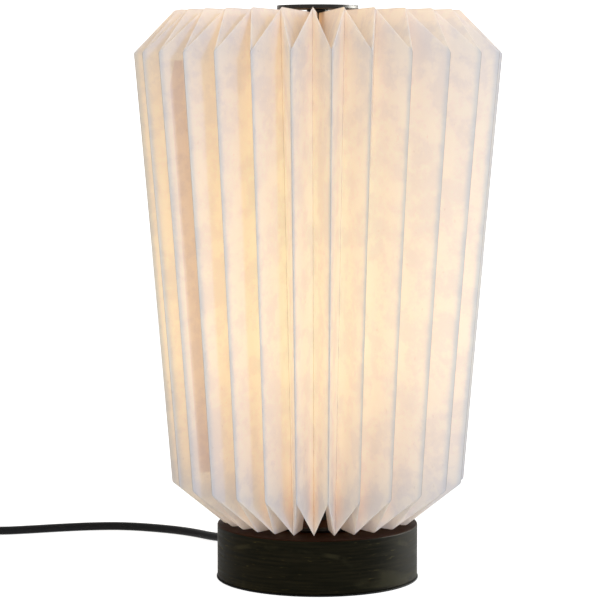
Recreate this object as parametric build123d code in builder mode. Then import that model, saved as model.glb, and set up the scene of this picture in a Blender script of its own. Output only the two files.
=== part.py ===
"""Table lamp with a pleated paper shade on a turned wooden base.

Millimetres, +Z up. The origin is on the surface that the lamp stands on, under the middle of the base.
+Y is the back of the lamp, where the cord leaves it.
"""

import os
from math import cos, hypot, pi, radians, sin, sqrt, tan

from build123d import *

os.makedirs("parts", exist_ok=True)

# ---------------------------------------------------------------- fits
seat_gap = 0.3  # left between pieces that stand on each other but come apart
running_fit = 0.05  # radial play of a shaft or pivot
hole_play = 0.1  # radial play of a fastener in its hole
edge_break = 0.4  # small rounding on turned and moulded edges

# ---------------------------------------------------------------- base
base_radius = 70.5
base_height = 37.5
base_edge = 1.0
pad_thickness = 1.0
pad_overhang = 0.6
recess_radius = 52.0
recess_depth = 24.0
spigot_height = 3.0

block_bottom = pad_thickness
block_top = block_bottom + base_height
recess_ceiling = block_bottom + recess_depth
spigot_top = block_top + spigot_height

# ---------------------------------------------------------------- stem and lamp holder
nipple_radius = 5.0
nipple_bore = 4.0
stem_radius = 10.0
stem_height = 28.0
nut_across_flats = 14.0
nut_height = 3.0
washer_radius = 11.0
washer_thickness = 1.5

stem_top = spigot_top + stem_height
nipple_engagement = 8.0
nipple_past_nut = 1.5
nipple_bottom = recess_ceiling - washer_thickness - nut_height - nipple_past_nut
nipple_top = stem_top + nipple_engagement

holder_wall = 1.8
holder_radius = 20.5
holder_cap_height = 16.0
holder_shell_height = 38.0
holder_neck_radius = 8.5
holder_neck_height = 3.0
holder_rim_height = 4.0
holder_dome = 20.0  # radius of the arc from neck to rim
holder_boss_wall = 2.5
holder_draft = 1.5  # degrees
holder_joint = stem_top + holder_cap_height
holder_top = holder_joint + holder_shell_height

# ---------------------------------------------------------------- bulb
bulb_radius = 30.0
bulb_length = 106.0
bulb_neck_radius = 14.0
bulb_wall = 0.8
bulb_cone_angle = 35.0
screw_radius = 12.4
screw_ridge = 0.8
screw_pitch = 3.6
screw_ridges = 5
screw_length = 22.0
insulator_height = 3.5
contact_radius = 4.5
contact_height = 1.0

contact_seat = holder_joint + 9.0
bulb_bottom = contact_seat + seat_gap
screw_bottom = bulb_bottom + contact_height + insulator_height
screw_top = screw_bottom + screw_length
bulb_top = bulb_bottom + bulb_length
bulb_centre = bulb_top - bulb_radius

# ---------------------------------------------------------------- folded paper shade
pleats = 29
first_ridge = 4.1  # degrees from the front, towards the right
pleat_angle = 12.0  # of an even pleat
spread_from = 1  # pleats on the right stand wider from this one on
spread_over = 4  # and over this many they take up what the even pleats leave of the circle
paper_thickness = 0.45
panel_width = 32.5  # between the creases of an even pleat, the same from top to bottom

ridge_top_radius = 128.0
ridge_top_height = 368.8
valley_top_radius = 100.6
valley_top_height = 397.4
ridge_low_radius = 102.7
ridge_low_height = 69.2
tip_radius = 68.6
tip_height = 40.9
gather_dip = 2.0  # how far the roof sinks towards the stud

half_pleat = pleat_angle / 2

# ---------------------------------------------------------------- fittings of the shade
ring_wire = 1.6
ring_radius = 41.4
stud_radius = 4.3
collar_radius = 7.5
collar_height = 2.2
cap_radius = 28.2
cap_thickness = 3.4
cap_crown = 0.7
clamp_washer_radius = 16.0
clamp_nut_flats = 13.0
clamp_nut_height = 5.0

ring_height = block_top + seat_gap + ring_wire
ring_play = 0.2
gather_play = 0.6
floor_edge_radius = ring_radius + ring_wire + ring_play
spigot_radius = ring_radius - ring_wire - 2 * seat_gap
gather_radius = stud_radius + gather_play
gather_top = valley_top_height - gather_dip
cap_bottom = gather_top + seat_gap + collar_height + hole_play
cap_top = cap_bottom + cap_thickness

# ---------------------------------------------------------------- cord
cord_diameter = 6.3
cord_radius = cord_diameter / 2
floor_clearance = 0.05
cord_height = cord_radius + floor_clearance
bend_share = 0.45  # of the shorter run beside a corner, taken by its bend

exit_heading = 118.0  # degrees from +X, seen from above
tunnel_height = 11.0
tunnel_radius = 4.6
grommet_flange = 7.0
grommet_flange_thickness = 2.0
grommet_length = 24.0
core_radius = 1.1
core_spacing = 2.4
core_bend = 6.0
clamp_distance = 38.0  # from the middle of the base
clamp_length = 9.0
clamp_width = 25.0
saddle_height = 6.0
clamp_screw_radius = 1.4
clamp_screw_head = 2.7
clamp_screw_head_height = 1.6
clamp_screw_spacing = 16.0

cord_exit = base_radius + grommet_length
sheath_start = clamp_distance - clamp_length / 2 - 6.0

# The free cord, between its straight way out of the base and its straight way into the switch.
exit_run = 14.0
free_route = [
    (-61.5, 109.5, 7.0),
    (-74.5, 123.5, cord_height),
    (-97.2, 147.8, cord_height),
    (-121.0, 161.8, cord_height),
    (-149.0, 171.6, cord_height),
    (-173.5, 170.6, cord_height),
    (-199.5, 163.9, cord_height),
    (-224.0, 155.4, cord_height),
    (-246.0, 149.6, cord_height),
    (-265.0, 146.6, 5.6),
]

# ---------------------------------------------------------------- in-line switch
switch_length = 64.0
switch_width = 27.0
switch_base_height = 8.0
switch_cover_height = 9.5
switch_corner = 8.0
switch_right = -304.0
switch_across = 146.0
switch_axis_height = 7.6
switch_relief_length = 9.0
switch_relief_radius = 5.2
rocker_length = 20.0
rocker_width = 11.0
rocker_tilt = 7.0  # either way from level
rocker_crest = 2.6
rocker_waist = 1.4
rocker_keel = 5.5
rocker_play = 0.7
pivot_radius = 1.5
pivot_reach = 1.6
pivot_depth = 2.2  # under the cover's top
switch_screw_radius = 1.4
switch_screw_head = 2.8
switch_screw_head_height = 2.0
switch_screw_spacing = 48.0

switch_centre = switch_right - switch_length / 2
switch_left = switch_right - switch_length
switch_joint = floor_clearance + switch_base_height
switch_top = switch_joint + switch_cover_height
pivot_height = switch_top - pivot_depth

# ---------------------------------------------------------------- put-away coil
coil_outer = 46.0  # radius of the first loop, to the cord's middle
coil_pitch = 8.2  # between neighbouring loops of one layer
coil_layer = 6.8  # from one layer up to the next
half_turns_in = 5
half_turns_out = 4
tie_strap = 0.9
tie_width = 5.0
tie_head = 6.0
tie_gap = 0.15
coil_height = floor_clearance + tie_strap + tie_gap + cord_radius

# The cord from the switch round to the coil: three equal turns to the left.
link_first_run = 20.0
link_run = 28.0
link_turn = 30.0

switch_exit = switch_left - switch_relief_length
link_width = link_first_run + link_run * (cos(radians(link_turn)) + cos(radians(2 * link_turn)))
link_depth = link_run * (sin(radians(link_turn)) + sin(radians(2 * link_turn)) + 1)
coil_middle = (switch_exit - link_width + coil_outer, switch_across - link_depth - cord_diameter)

# The cord from the coil to the plug, as steps to the right, to the front and down.
tail_steps = [
    (15.0, 0.0, 0.0),
    (16.0, -1.6, -0.8),
    (16.0, -2.8, -1.7),
    (14.0, -1.2, -1.5),
    (12.0, 0.0, 0.0),
]

# ---------------------------------------------------------------- plug
plug_thickness = 14.0
plug_back_width = 15.0
plug_back_thickness = 11.0
plug_waist_width = 26.0
plug_waist_length = 18.0
plug_nose_width = 35.0
plug_nose_length = 9.0
plug_rounding = 3.0
pin_radius = 2.0
pin_core = 1.55
pin_sleeve_radius = 1.9
pin_length = 19.0
pin_sleeve_length = 10.0
pin_spacing = 18.6
plug_relief_length = 22.0
plug_relief_radius = 5.2
plug_relief_ribs = 4
plug_rib_gap = 2.0


def on_circle(radius, azimuth, height):
    """A point at an azimuth counted in degrees from the front of the lamp towards its right."""
    turn = radians(azimuth)
    return Vector(radius * sin(turn), -radius * cos(turn), height)


def rims(part, radius):
    """The circular edges of a part that have this radius."""
    circles = part.edges().filter_by(GeomType.CIRCLE)
    return circles.filter_by(lambda rim: abs(rim.radius - radius) < running_fit)


def finish(part, name):
    """Label a finished piece and write it to its own file."""
    part.label = name
    export_step(part, f"parts/{name}.step")


# ================================================================ base
exit_direction = Vector(cos(radians(exit_heading)), sin(radians(exit_heading)), 0)
exit_side = Vector(-exit_direction.Y, exit_direction.X, 0)


def exit_plane(radius, height=tunnel_height):
    """The plane square to the cord's way out, this far from the middle of the base."""
    middle = exit_direction * radius
    return Plane(origin=(middle.X, middle.Y, height), x_dir=exit_side, z_dir=exit_direction)


with BuildPart() as base_block:
    with BuildSketch(Plane.XZ):
        with BuildLine():
            Polyline(
                (0, block_bottom),
                (base_radius, block_bottom),
                (base_radius, block_top),
                (spigot_radius, block_top),
                (spigot_radius, spigot_top),
                (0, spigot_top),
                close=True,
            )
        make_face()
    revolve(axis=Axis.Z)
    fillet(rims(base_block, base_radius), base_edge)
    with BuildSketch(Plane.XY.offset(block_bottom)):
        Circle(recess_radius)
    extrude(amount=recess_depth, mode=Mode.SUBTRACT)
    with BuildSketch(Plane.XY.offset(block_bottom)):
        Circle(nipple_radius + hole_play)
    extrude(amount=base_height + spigot_height, mode=Mode.SUBTRACT)
    with BuildSketch(exit_plane(recess_radius - grommet_flange)):
        Circle(tunnel_radius)
    extrude(amount=base_radius, mode=Mode.SUBTRACT)
finish(base_block.part, "base_block")

with BuildPart() as base_pad:
    with BuildSketch():
        Circle(base_radius + pad_overhang)
    extrude(amount=pad_thickness)
    chamfer(base_pad.edges(), pad_thickness / 4)
finish(base_pad.part, "base_pad")

# ================================================================ stem
with BuildPart() as stem_tube:
    with BuildSketch(Plane.XY.offset(spigot_top)):
        Circle(stem_radius)
        Circle(nipple_radius + hole_play, mode=Mode.SUBTRACT)
    extrude(amount=stem_height)
    fillet(rims(stem_tube, stem_radius), edge_break)
finish(stem_tube.part, "stem_tube")

with BuildPart() as stem_nipple:
    with BuildSketch(Plane.XY.offset(nipple_bottom)):
        Circle(nipple_radius)
        Circle(nipple_bore, mode=Mode.SUBTRACT)
    extrude(amount=nipple_top - nipple_bottom)
    chamfer(stem_nipple.edges().filter_by(GeomType.CIRCLE), edge_break)
finish(stem_nipple.part, "stem_nipple")

with BuildPart() as stem_washer:
    with BuildSketch(Plane.XY.offset(recess_ceiling - washer_thickness)):
        Circle(washer_radius)
        Circle(nipple_radius + hole_play, mode=Mode.SUBTRACT)
    extrude(amount=washer_thickness)
finish(stem_washer.part, "stem_washer")

with BuildPart() as stem_nut:
    with BuildSketch(Plane.XY.offset(recess_ceiling - washer_thickness - nut_height)):
        RegularPolygon(nut_across_flats / 2, 6, major_radius=False)
        Circle(nipple_radius + hole_play, mode=Mode.SUBTRACT)
    extrude(amount=nut_height)
finish(stem_nut.part, "stem_nut")

# ================================================================ lamp holder
with BuildPart() as holder_cap:
    with BuildSketch(Plane.XZ):
        with BuildLine():
            neck_foot = (holder_neck_radius, stem_top)
            neck_head = (holder_neck_radius, stem_top + holder_neck_height)
            rim_foot = (holder_radius, holder_joint - holder_rim_height)
            rim_head = (holder_radius, holder_joint)
            rim_inside = (holder_radius - holder_wall, holder_joint)
            dome_inside = (holder_radius - holder_wall, holder_joint - holder_rim_height)
            boss_inside = (nipple_radius + holder_boss_wall, stem_top + nipple_engagement)
            boss_bore = (nipple_radius + hole_play, stem_top + nipple_engagement)
            Line((nipple_radius + hole_play, stem_top), neck_foot)
            Line(neck_foot, neck_head)
            RadiusArc(neck_head, rim_foot, holder_dome)
            Line(rim_foot, rim_head)
            Line(rim_head, rim_inside)
            Line(rim_inside, dome_inside)
            Line(dome_inside, boss_inside)
            Line(boss_inside, boss_bore)
            Line(boss_bore, (nipple_radius + hole_play, stem_top))
        make_face()
    revolve(axis=Axis.Z)
finish(holder_cap.part, "holder_cap")

grip_grooves = 24
grip_depth = 0.5
with BuildPart() as holder_shell:
    with BuildSketch(Plane.XY.offset(holder_joint)):
        Circle(holder_radius)
    extrude(amount=holder_shell_height, taper=holder_draft)
    with BuildSketch(Plane.XY.offset(holder_joint + holder_rim_height)):
        with PolarLocations(holder_radius, grip_grooves):
            Circle(grip_depth * 2)
    extrude(amount=holder_shell_height / 3, mode=Mode.SUBTRACT)
    shell_mouth = holder_shell.faces().sort_by(Axis.Z)[-1].edges()
    fillet(shell_mouth, edge_break)
    with BuildSketch(Plane.XY.offset(holder_joint)):
        Circle(holder_radius - 2 * holder_wall)
    extrude(amount=holder_shell_height, mode=Mode.SUBTRACT)
finish(holder_shell.part, "holder_shell")

sleeve_bore = screw_radius + screw_ridge + seat_gap + hole_play
sleeve_wall = 0.6
sleeve_below_rim = 4.0  # of the bulb's screw
insulator_floor = 4.0
disc_radius = holder_radius - 2 * holder_wall - hole_play
with BuildPart() as holder_insulator:
    with BuildSketch(Plane.XY.offset(holder_joint + hole_play)):
        Circle(disc_radius)
    extrude(amount=insulator_floor)
    with BuildSketch(Plane.XY.offset(holder_joint + hole_play + insulator_floor)):
        Circle(disc_radius)
        Circle(sleeve_bore + sleeve_wall + hole_play, mode=Mode.SUBTRACT)
    extrude(amount=insulator_floor)
finish(holder_insulator.part, "holder_insulator")

sleeve_bottom = holder_joint + hole_play + insulator_floor
with BuildPart() as holder_sleeve:
    with BuildSketch(Plane.XY.offset(sleeve_bottom)):
        Circle(sleeve_bore + sleeve_wall)
        Circle(sleeve_bore, mode=Mode.SUBTRACT)
    extrude(amount=screw_top - sleeve_bottom - sleeve_below_rim)
finish(holder_sleeve.part, "holder_sleeve")

tongue_thickness = 0.6
tongue_width = 6.0
tongue_bend = 0.9
tongue_foot = (-8.0, 4.0)
tongue_tip_reach = 7.0
tongue_tip_drop = 2.2
with BuildPart() as holder_contact:
    with BuildSketch(Plane.XZ):
        with BuildLine():
            foot_end = (tongue_foot[0], sleeve_bottom + tongue_thickness / 2)
            foot_bend = (tongue_foot[1], sleeve_bottom + tongue_thickness / 2)
            crest = (0, contact_seat - tongue_thickness / 2)
            tongue_tip = (-tongue_tip_reach, contact_seat - tongue_tip_drop)
            FilletPolyline(foot_end, foot_bend, crest, tongue_tip, radius=tongue_bend)
            offset(amount=tongue_thickness / 2, side=Side.BOTH)
        make_face()
    extrude(amount=tongue_width / 2, both=True)
finish(holder_contact.part, "holder_contact")

# ================================================================ bulb
neck_rounding = 14.0
neck_end_radius = screw_radius - hole_play
shoulder = screw_top + 5.0
glass_in_screw = 6.0
shoulder_bends = (1.5, 1.0)


def bulb_outline(wall):
    """Half of the glass envelope's outline, drawn in by the given wall, as a face to revolve."""
    ball = bulb_radius - wall
    lean = radians(bulb_cone_angle)
    start = (ball * cos(lean), bulb_centre - ball * sin(lean))
    neck = bulb_neck_radius - wall
    bend = start[1] - (start[0] - neck) / tan(lean)
    end = neck_end_radius - wall
    with BuildSketch(Plane.XZ, mode=Mode.PRIVATE) as outline:
        with BuildLine():
            ThreePointArc(
                (0, bulb_centre + ball),
                (ball * cos(radians(30)), bulb_centre + ball * sin(radians(30))),
                start,
            )
            FilletPolyline(
                start,
                (neck, bend),
                (neck, shoulder),
                (end, screw_top),
                (end, screw_top - glass_in_screw),
                radius=[neck_rounding, *shoulder_bends],
            )
            Line((end, screw_top - glass_in_screw), (0, screw_top - glass_in_screw))
            Line((0, screw_top - glass_in_screw), (0, bulb_centre + ball))
        make_face()
    return outline.sketch


with BuildPart() as bulb_glass:
    add(bulb_outline(0))
    revolve(axis=Axis.Z)
    add(bulb_outline(bulb_wall))
    revolve(axis=Axis.Z, mode=Mode.SUBTRACT)
    with BuildSketch(Plane.XY.offset(screw_top - glass_in_screw)):
        Circle(neck_end_radius - bulb_wall)
    extrude(amount=2 * bulb_wall, mode=Mode.SUBTRACT)
finish(bulb_glass.part, "bulb_glass")

screw_wall = 0.6
first_ridge_height = 0.7 * screw_pitch
with BuildPart() as bulb_screw:
    with BuildSketch(Plane.XZ):
        with Locations((screw_radius / 2, (screw_bottom + screw_top) / 2)):
            Rectangle(screw_radius, screw_length)
        for ridge in range(screw_ridges):
            with Locations((screw_radius, screw_bottom + first_ridge_height + screw_pitch * ridge)):
                Circle(screw_ridge)
    revolve(axis=Axis.Z)
    with BuildSketch(Plane.XY.offset(screw_bottom + screw_wall)):
        Circle(screw_radius - screw_wall)
    extrude(amount=screw_length, mode=Mode.SUBTRACT)
    with BuildSketch(Plane.XY.offset(screw_bottom + screw_wall)):
        Circle(neck_end_radius + hole_play - running_fit)
    extrude(amount=screw_length, mode=Mode.SUBTRACT)
finish(bulb_screw.part, "bulb_screw")

insulator_lip = 1.5
contact_edge = 1.0
with BuildPart() as bulb_insulator:
    with BuildSketch(Plane.XY.offset(bulb_bottom + contact_height)):
        Circle(contact_radius + insulator_lip)
    with BuildSketch(Plane.XY.offset(screw_bottom)):
        Circle(screw_radius - insulator_lip)
    loft()
finish(bulb_insulator.part, "bulb_insulator")

with BuildPart() as bulb_contact:
    with BuildSketch(Plane.XY.offset(bulb_bottom)):
        Circle(contact_radius - contact_edge)
    with BuildSketch(Plane.XY.offset(bulb_bottom + contact_height)):
        Circle(contact_radius)
    loft()
finish(bulb_contact.part, "bulb_contact")

mount_foot = screw_top - 3.0
mount_top = screw_top + 26.0
mount_head = 2.4
mount_flange = 1.5
mount_waist = (4.0, mount_foot + 9.0)
mount_press = 8.0  # height of the flat press seal at its top
with BuildPart() as bulb_mount:
    with BuildSketch(Plane.XZ):
        with BuildLine():
            Polyline(
                (0, mount_foot),
                (neck_end_radius - bulb_wall - hole_play, mount_foot),
                (neck_end_radius - bulb_wall - hole_play, mount_foot + mount_flange),
                mount_waist,
                (mount_head, mount_top - mount_press),
                (mount_head, mount_top),
                (0, mount_top),
                close=True,
            )
        make_face()
    revolve(axis=Axis.Z)
finish(bulb_mount.part, "bulb_mount")

filament_half = 13.0
filament_wire = 0.3
filament_bow = 7.8
filament_rise = 3.0
filament_bend = 2.5
with BuildPart() as bulb_filament:
    with BuildLine() as filament_path:
        FilletPolyline(
            (-mount_head / 2, 0, mount_top + filament_wire),
            (-filament_half, 0, bulb_centre),
            (0, filament_bow, bulb_centre + filament_rise),
            (filament_half, 0, bulb_centre),
            (mount_head / 2, 0, mount_top + filament_wire),
            radius=filament_bend,
        )
    with BuildSketch(Plane(origin=filament_path.line @ 0, z_dir=filament_path.line % 0)):
        Circle(filament_wire)
    sweep()
finish(bulb_filament.part, "bulb_filament")


# ================================================================ folded paper shade
wall_lean = (ridge_top_radius - ridge_low_radius) / (ridge_top_height - ridge_low_height)
valley_lean = (valley_top_radius - tip_radius) / (valley_top_height - tip_height)


def crease_span(radius):
    """The height between a mountain and the valley beside it, where the sheet lies flat at this radius."""
    return sqrt(panel_width**2 - (2 * radius * sin(radians(half_pleat) / 2)) ** 2)


def flat_inset(radius):
    """How far apart the sheet's two faces lie, measured straight up, where it lies flat."""
    return paper_thickness * panel_width / (2 * radius * sin(radians(half_pleat) / 2))


def fold_azimuth(fold):
    """Where a fold stands, in degrees from the front towards the right. Even folds are ridges."""
    pleat = fold / 2
    spread = min(1.0, max(0.0, (pleat - spread_from) / spread_over)) ** 2
    return first_ridge + pleat * pleat_angle + spread * (360 - pleats * pleat_angle)


def fold_line(is_ridge, side):
    """The crease line of one fold from the floor's edge up the wall to the stud.

    side is 0 on the sheet's outer face and 1 on its inner face. The inner face follows the outer one at a
    distance along the radius on the wall and along the height on the floor and roof, so that both are
    folded from the same creases.
    """
    wall_inset = side * flat_inset(valley_top_radius)
    floor_inset = side * flat_inset(floor_edge_radius)
    roof_inset = side * flat_inset(4 * clamp_washer_radius) * 2
    gather_bottom = gather_top - crease_span(gather_radius)
    if is_ridge:
        low = (ridge_low_radius, ridge_low_height)
        top = (ridge_top_radius, ridge_top_height)
        floor_height = tip_height + crease_span(floor_edge_radius)
        roof_height = gather_bottom
        lean = wall_lean
    else:
        low = (tip_radius, tip_height)
        top = (valley_top_radius, valley_top_height)
        floor_height = tip_height
        roof_height = gather_top
        lean = valley_lean
    return [
        (floor_edge_radius, floor_height + floor_inset),
        (low[0] - wall_inset + lean * wall_inset, low[1] + wall_inset),
        (top[0] - wall_inset - lean * wall_inset, top[1] - wall_inset),
        (gather_radius, roof_height - roof_inset),
    ]


def folded_sheet():
    """The whole folded sheet as one solid of flat triangles, its two faces joined at both edges."""
    folds = []
    for fold in range(2 * pleats):
        azimuth = fold_azimuth(fold)
        is_ridge = fold % 2 == 0
        folds.append([[on_circle(r, azimuth, z) for r, z in fold_line(is_ridge, side)] for side in (0, 1)])
    faces = []

    def panel(a, b, c, d):
        """Two triangles that meet on the diagonal from a to c."""
        for corners in ((a, b, c), (a, c, d)):
            faces.append(Face(Wire.make_polygon([*corners], close=True)))

    for fold in range(2 * pleats):
        here, there = folds[fold], folds[(fold + 1) % (2 * pleats)]
        for level in range(3):
            panel(here[0][level], there[0][level], there[0][level + 1], here[0][level + 1])
            panel(here[1][level], here[1][level + 1], there[1][level + 1], there[1][level])
        panel(here[0][0], here[1][0], there[1][0], there[0][0])
        panel(here[0][3], there[0][3], there[1][3], here[1][3])
    return Solid(Shell(faces))


with BuildPart() as shade_paper:
    add(folded_sheet())
finish(shade_paper.part, "shade_paper")

# The seam is a second layer glued inside one panel of the left-hand wall.
seam_pleat = 24
seam_start = 0.19
seam_end = 0.60
seam_margin = 14.0
seam_thickness = 0.3
seam_gap = 0.25  # taken up by glue


def seam_corners():
    """The seam's corners on the inner face of its panel, between a ridge and the valley after it."""
    ridge = fold_line(True, 1)
    valley = fold_line(False, 1)
    ridge_azimuth = fold_azimuth(2 * seam_pleat)
    valley_azimuth = fold_azimuth(2 * seam_pleat + 1)
    corners = []
    for share, heights in ((seam_start, (1, 0)), (seam_end, (0, 1))):
        for low_first in heights:
            bottom = ridge_low_height + seam_margin
            top = ridge_top_height - seam_margin
            height = bottom if low_first else top
            ridge_radius = ridge[1][0] + wall_lean * (height - ridge[1][1])
            valley_radius = valley[1][0] + valley_lean * (height - valley[1][1])
            on_ridge = on_circle(ridge_radius, ridge_azimuth, height)
            on_valley = on_circle(valley_radius, valley_azimuth, height)
            corners.append(on_ridge + (on_valley - on_ridge) * share)
    return corners


with BuildPart() as seam_strip:
    strip = seam_corners()
    along = strip[1] - strip[0]
    across = strip[3] - strip[0]
    inward = along.cross(across).normalized()
    middle = (strip[0] + strip[2]) * 0.5
    if inward.dot(Vector(middle.X, middle.Y, 0)) > 0:
        inward = inward * -1
    strip_plane = Plane(origin=strip[0] + inward * seam_gap, x_dir=along, z_dir=inward)
    with BuildSketch(strip_plane):
        with BuildLine():
            flat_corners = [strip_plane.to_local_coords(corner) for corner in strip]
            Polyline(*[(corner.X, corner.Y) for corner in flat_corners], close=True)
        make_face()
    extrude(amount=seam_thickness)
finish(seam_strip.part, "seam_strip")

# ================================================================ fittings of the shade
with BuildPart() as bottom_ring:
    with BuildSketch(Plane.XZ):
        with Locations((ring_radius, ring_height)):
            Circle(ring_wire)
    revolve(axis=Axis.Z)
finish(bottom_ring.part, "bottom_ring")



def roof_underside(radius):
    """The height of the lowest crease on the inner face of the roof at this radius."""
    rim, foot = fold_line(True, 1)[2:]
    share = (radius - foot[0]) / (rim[0] - foot[0])
    return foot[1] + (rim[1] - foot[1]) * share


stud_below_nut = 3.0
clamp_seat = min(roof_underside(gather_radius), roof_underside(clamp_washer_radius)) - seat_gap
nut_seat = clamp_seat - washer_thickness
stud_foot = nut_seat - clamp_nut_height - stud_below_nut
with BuildPart() as top_stud:
    with BuildSketch(Plane.XY.offset(stud_foot)):
        Circle(stud_radius)
    extrude(amount=cap_top - cap_thickness / 3 - stud_foot)
    chamfer(rims(top_stud, stud_radius), edge_break)
finish(top_stud.part, "top_stud")

with BuildPart() as top_collar:
    with BuildSketch(Plane.XY.offset(gather_top + seat_gap)):
        Circle(collar_radius)
        Circle(stud_radius + hole_play, mode=Mode.SUBTRACT)
    extrude(amount=collar_height)
    fillet(rims(top_collar, collar_radius), edge_break)
finish(top_collar.part, "top_collar")

with BuildPart() as clamp_washer:
    with BuildSketch(Plane.XY.offset(nut_seat)):
        Circle(clamp_washer_radius)
        Circle(stud_radius + hole_play, mode=Mode.SUBTRACT)
    extrude(amount=washer_thickness)
finish(clamp_washer.part, "clamp_washer")

with BuildPart() as clamp_nut:
    with BuildSketch(Plane.XY.offset(nut_seat - clamp_nut_height)):
        RegularPolygon(clamp_nut_flats / 2, 6, major_radius=False)
        Circle(stud_radius + hole_play, mode=Mode.SUBTRACT)
    extrude(amount=clamp_nut_height)
finish(clamp_nut.part, "clamp_nut")

with BuildPart() as cap_disc:
    with BuildSketch(Plane.XZ):
        with BuildLine():
            Line((0, cap_bottom), (cap_radius, cap_bottom))
            Line((cap_radius, cap_bottom), (cap_radius, cap_top - cap_crown))
            ThreePointArc(
                (cap_radius, cap_top - cap_crown),
                (cap_radius / 2, cap_top - cap_crown / 4),
                (0, cap_top),
            )
            Line((0, cap_top), (0, cap_bottom))
        make_face()
    revolve(axis=Axis.Z)
    fillet(rims(cap_disc, cap_radius), edge_break)
    with BuildSketch(Plane.XY.offset(cap_bottom)):
        Circle(stud_radius + running_fit)
    extrude(amount=cap_thickness * 2 / 3 + seat_gap, mode=Mode.SUBTRACT)
finish(cap_disc.part, "cap_disc")


# ================================================================ cord
def bend_radii(route):
    """The largest radius that each corner's two runs allow, and the turn there in degrees."""
    radii = []
    turns = []
    for before, corner, after in zip(route, route[1:], route[2:]):
        run_in = Vector(*corner) - Vector(*before)
        run_out = Vector(*after) - Vector(*corner)
        turn = run_in.get_angle(run_out)
        shorter = min(run_in.length, run_out.length)
        radii.append(bend_share * shorter / tan(radians(turn) / 2))
        turns.append(turn)
    return radii, turns


def tube_along(route, name):
    """A round cord along a route of straight runs joined by tangent arcs."""
    radii, turns = bend_radii(route)
    with BuildPart() as tube:
        with BuildLine() as path:
            FilletPolyline(*route, radius=radii)
        middle = path.wire()
        with BuildSketch(Plane(origin=middle @ 0, z_dir=middle % 0)):
            Circle(cord_radius)
        sweep()
    section = pi * cord_radius**2
    share = tube.part.volume / (section * middle.length)
    print(f"{name}: length {middle.length:.1f}, volume over section times length {share:.4f}")
    print("  radii", [round(radius, 1) for radius in radii], "turns", [round(turn) for turn in turns])
    finish(tube.part, name)
    return middle.length


with BuildPart() as cord_grommet:
    with BuildSketch(exit_plane(recess_radius - 2 * grommet_flange_thickness)):
        Circle(grommet_flange)
    extrude(amount=grommet_flange_thickness)
    with BuildSketch(exit_plane(recess_radius - 2 * grommet_flange_thickness)):
        Circle(tunnel_radius - hole_play)
    extrude(amount=base_radius - recess_radius + 2 * grommet_flange_thickness)
    with BuildSketch(exit_plane(base_radius)):
        Circle(tunnel_radius - hole_play)
    with BuildSketch(exit_plane(cord_exit)):
        Circle(cord_radius + 0.5)
    loft()
    with BuildSketch(exit_plane(sheath_start)):
        Circle(cord_radius + running_fit)
    extrude(amount=cord_exit, mode=Mode.SUBTRACT)
finish(cord_grommet.part, "cord_grommet")

with BuildPart() as lead_inside:
    with BuildSketch(exit_plane(sheath_start)):
        Circle(cord_radius)
    extrude(amount=cord_exit - sheath_start)
finish(lead_inside.part, "lead_inside")

with BuildPart() as lead_wires:
    for side in (-core_spacing / 2, core_spacing / 2):
        offset_aside = exit_side * side
        sheath_end = exit_direction * sheath_start + offset_aside
        with BuildLine() as core_path:
            FilletPolyline(
                (sheath_end.X, sheath_end.Y, tunnel_height),
                (offset_aside.X, offset_aside.Y, tunnel_height),
                (offset_aside.X, offset_aside.Y, holder_joint + hole_play),
                radius=core_bend,
            )
        with BuildSketch(Plane(origin=core_path.line @ 0, z_dir=core_path.line % 0)):
            Circle(core_radius)
        sweep(path=core_path.line)
finish(lead_wires.part, "lead_wires")

with BuildPart() as clamp_block:
    with BuildSketch(exit_plane(clamp_distance - clamp_length / 2, recess_ceiling)):
        with Locations((0, -(recess_ceiling - tunnel_height) / 2)):
            Rectangle(clamp_width, recess_ceiling - tunnel_height - 0.2)
        with Locations((0, tunnel_height - recess_ceiling)):
            Circle(cord_radius + running_fit, mode=Mode.SUBTRACT)
    extrude(amount=clamp_length)
    with BuildSketch(Plane.XY.offset(tunnel_height)):
        for side in (-1, 1):
            hole = exit_direction * clamp_distance + exit_side * (side * clamp_screw_spacing / 2)
            with Locations((hole.X, hole.Y)):
                Circle(clamp_screw_radius + hole_play)
    extrude(amount=recess_ceiling, mode=Mode.SUBTRACT)
finish(clamp_block.part, "clamp_block")

with BuildPart() as clamp_saddle:
    with BuildSketch(exit_plane(clamp_distance - clamp_length / 2)):
        with Locations((0, -saddle_height / 2 - 0.1)):
            Rectangle(clamp_width, saddle_height)
        Circle(cord_radius + running_fit, mode=Mode.SUBTRACT)
    extrude(amount=clamp_length)
    with BuildSketch(Plane.XY):
        for side in (-1, 1):
            hole = exit_direction * clamp_distance + exit_side * (side * clamp_screw_spacing / 2)
            with Locations((hole.X, hole.Y)):
                Circle(clamp_screw_radius + hole_play)
    extrude(amount=tunnel_height, mode=Mode.SUBTRACT)
finish(clamp_saddle.part, "clamp_saddle")

saddle_bottom = tunnel_height - 0.1 - saddle_height
with BuildPart() as clamp_screws:
    for side in (-1, 1):
        hole = exit_direction * clamp_distance + exit_side * (side * clamp_screw_spacing / 2)
        with BuildSketch(Plane.XY.offset(saddle_bottom - clamp_screw_head_height)):
            with Locations((hole.X, hole.Y)):
                Circle(clamp_screw_head)
        extrude(amount=clamp_screw_head_height)
        with BuildSketch(Plane.XY.offset(saddle_bottom)):
            with Locations((hole.X, hole.Y)):
                Circle(clamp_screw_radius)
        extrude(amount=recess_ceiling - saddle_bottom - 0.2)
finish(clamp_screws.part, "clamp_screws")

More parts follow.
